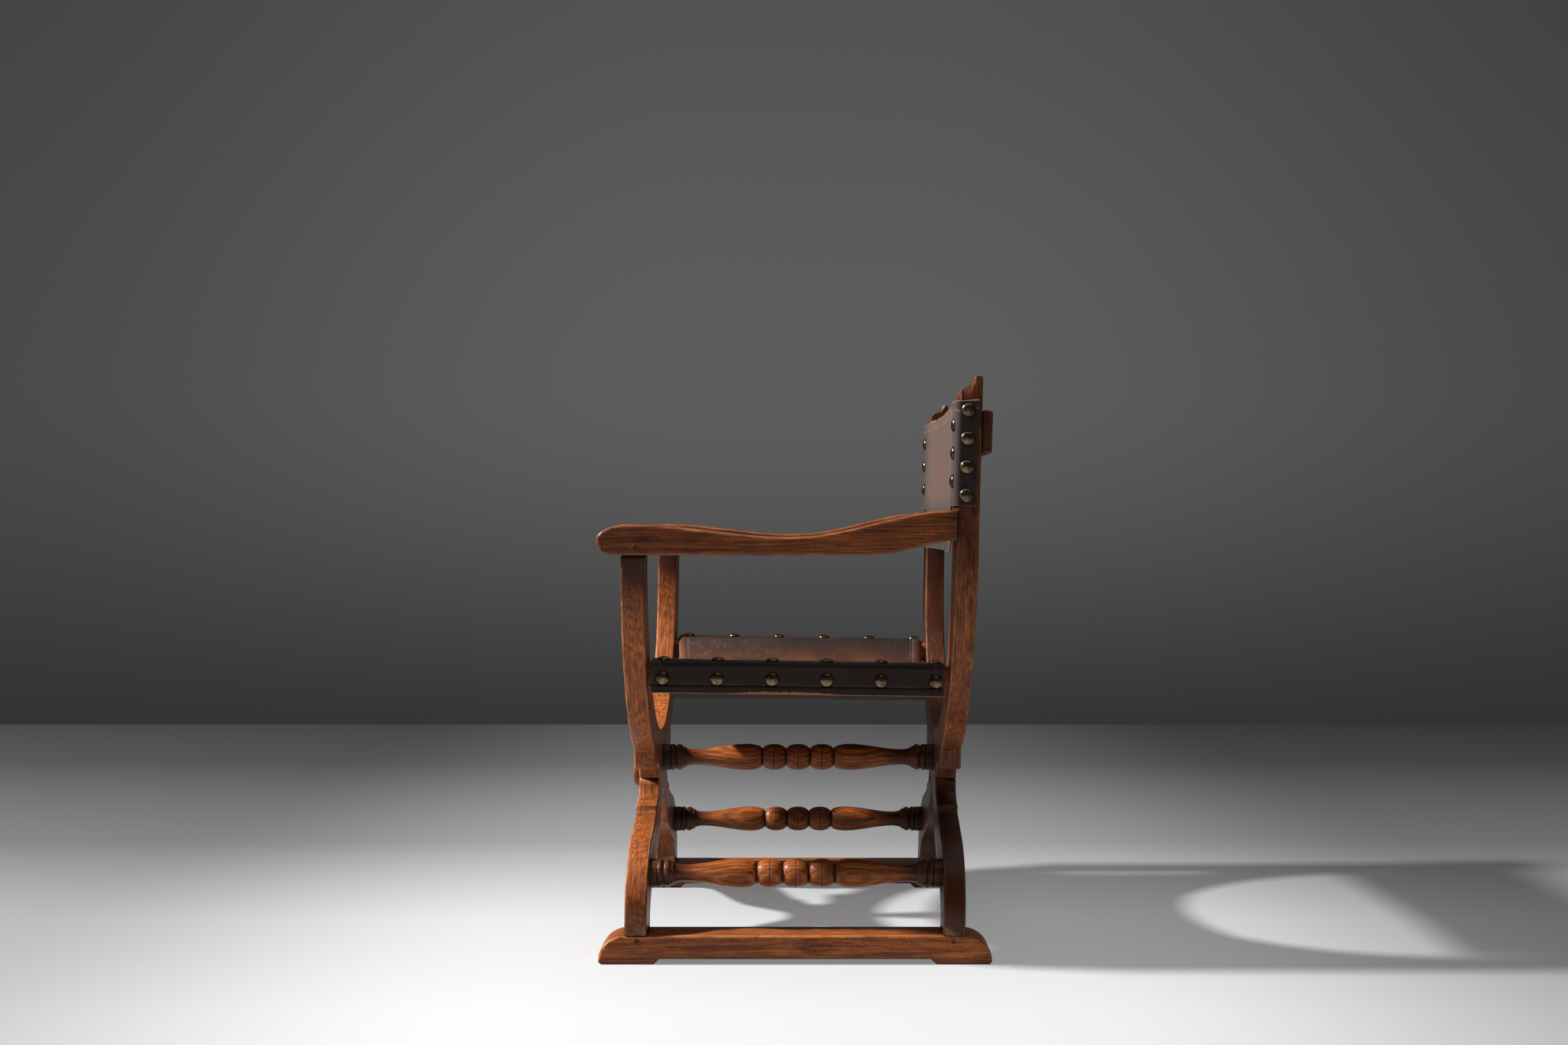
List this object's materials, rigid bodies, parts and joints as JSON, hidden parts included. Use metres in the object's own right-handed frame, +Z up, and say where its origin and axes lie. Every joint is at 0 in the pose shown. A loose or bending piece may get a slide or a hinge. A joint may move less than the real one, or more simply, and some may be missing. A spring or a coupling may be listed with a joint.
{
  "type": "throne chair",
  "caption": "Crossed-leg oak throne chair: S-shaped legs on sled feet, turned stretchers, shaped arms, and a slung leather seat and back held by domed nails.",
  "frame": {"origin": "on the floor, under the middle of the two feet", "axes": "+Z up, the sitter faces -Y, +X is the sitter's left"},
  "size_m": [0.6602, 0.6032, 0.8969],
  "materials": {
    "frame_oak": "dark stained and waxed, open grain",
    "turned_oak": "dark stained, turned and waxed",
    "seat_leather": "thick worn saddle leather, satin",
    "back_leather": "thick worn saddle leather, glossy",
    "nail_brass": "darkened antique brass"
  },
  "bodies": {
    "root": {"foot_rail_left": "frame_oak", "foot_rail_right": "frame_oak", "front_cross_leg_left": "frame_oak", "front_cross_leg_right": "frame_oak", "rear_cross_leg_left": "frame_oak", "rear_cross_leg_right": "frame_oak", "arm_left": "frame_oak", "arm_right": "frame_oak", "seat_rail_left": "frame_oak", "seat_rail_right": "frame_oak", "back_brace": "frame_oak", "stretcher_centre": "turned_oak", "stretcher_left": "turned_oak", "stretcher_right": "turned_oak", "crossing_boss": "turned_oak", "seat_leather": "seat_leather", "back_leather": "back_leather", "seat_top_nail_left_1": "nail_brass", "seat_top_nail_left_2": "nail_brass", "seat_top_nail_left_3": "nail_brass", "seat_top_nail_left_4": "nail_brass", "seat_top_nail_left_5": "nail_brass", "seat_top_nail_left_6": "nail_brass", "seat_top_nail_right_1": "nail_brass", "seat_top_nail_right_2": "nail_brass", "seat_top_nail_right_3": "nail_brass", "seat_top_nail_right_4": "nail_brass", "seat_top_nail_right_5": "nail_brass", "seat_top_nail_right_6": "nail_brass", "seat_side_nail_left_1": "nail_brass", "seat_side_nail_left_2": "nail_brass", "seat_side_nail_left_3": "nail_brass", "seat_side_nail_left_4": "nail_brass", "seat_side_nail_left_5": "nail_brass", "seat_side_nail_left_6": "nail_brass", "seat_side_nail_right_1": "nail_brass", "seat_side_nail_right_2": "nail_brass", "seat_side_nail_right_3": "nail_brass", "seat_side_nail_right_4": "nail_brass", "seat_side_nail_right_5": "nail_brass", "seat_side_nail_right_6": "nail_brass", "back_side_nail_left_1": "nail_brass", "back_side_nail_left_2": "nail_brass", "back_side_nail_left_3": "nail_brass", "back_side_nail_left_4": "nail_brass", "back_side_nail_right_1": "nail_brass", "back_side_nail_right_2": "nail_brass", "back_side_nail_right_3": "nail_brass", "back_side_nail_right_4": "nail_brass", "back_front_nail_left_1": "nail_brass", "back_front_nail_left_2": "nail_brass", "back_front_nail_left_3": "nail_brass", "back_front_nail_right_1": "nail_brass", "back_front_nail_right_2": "nail_brass", "back_front_nail_right_3": "nail_brass"}
  },
  "joints": []
}
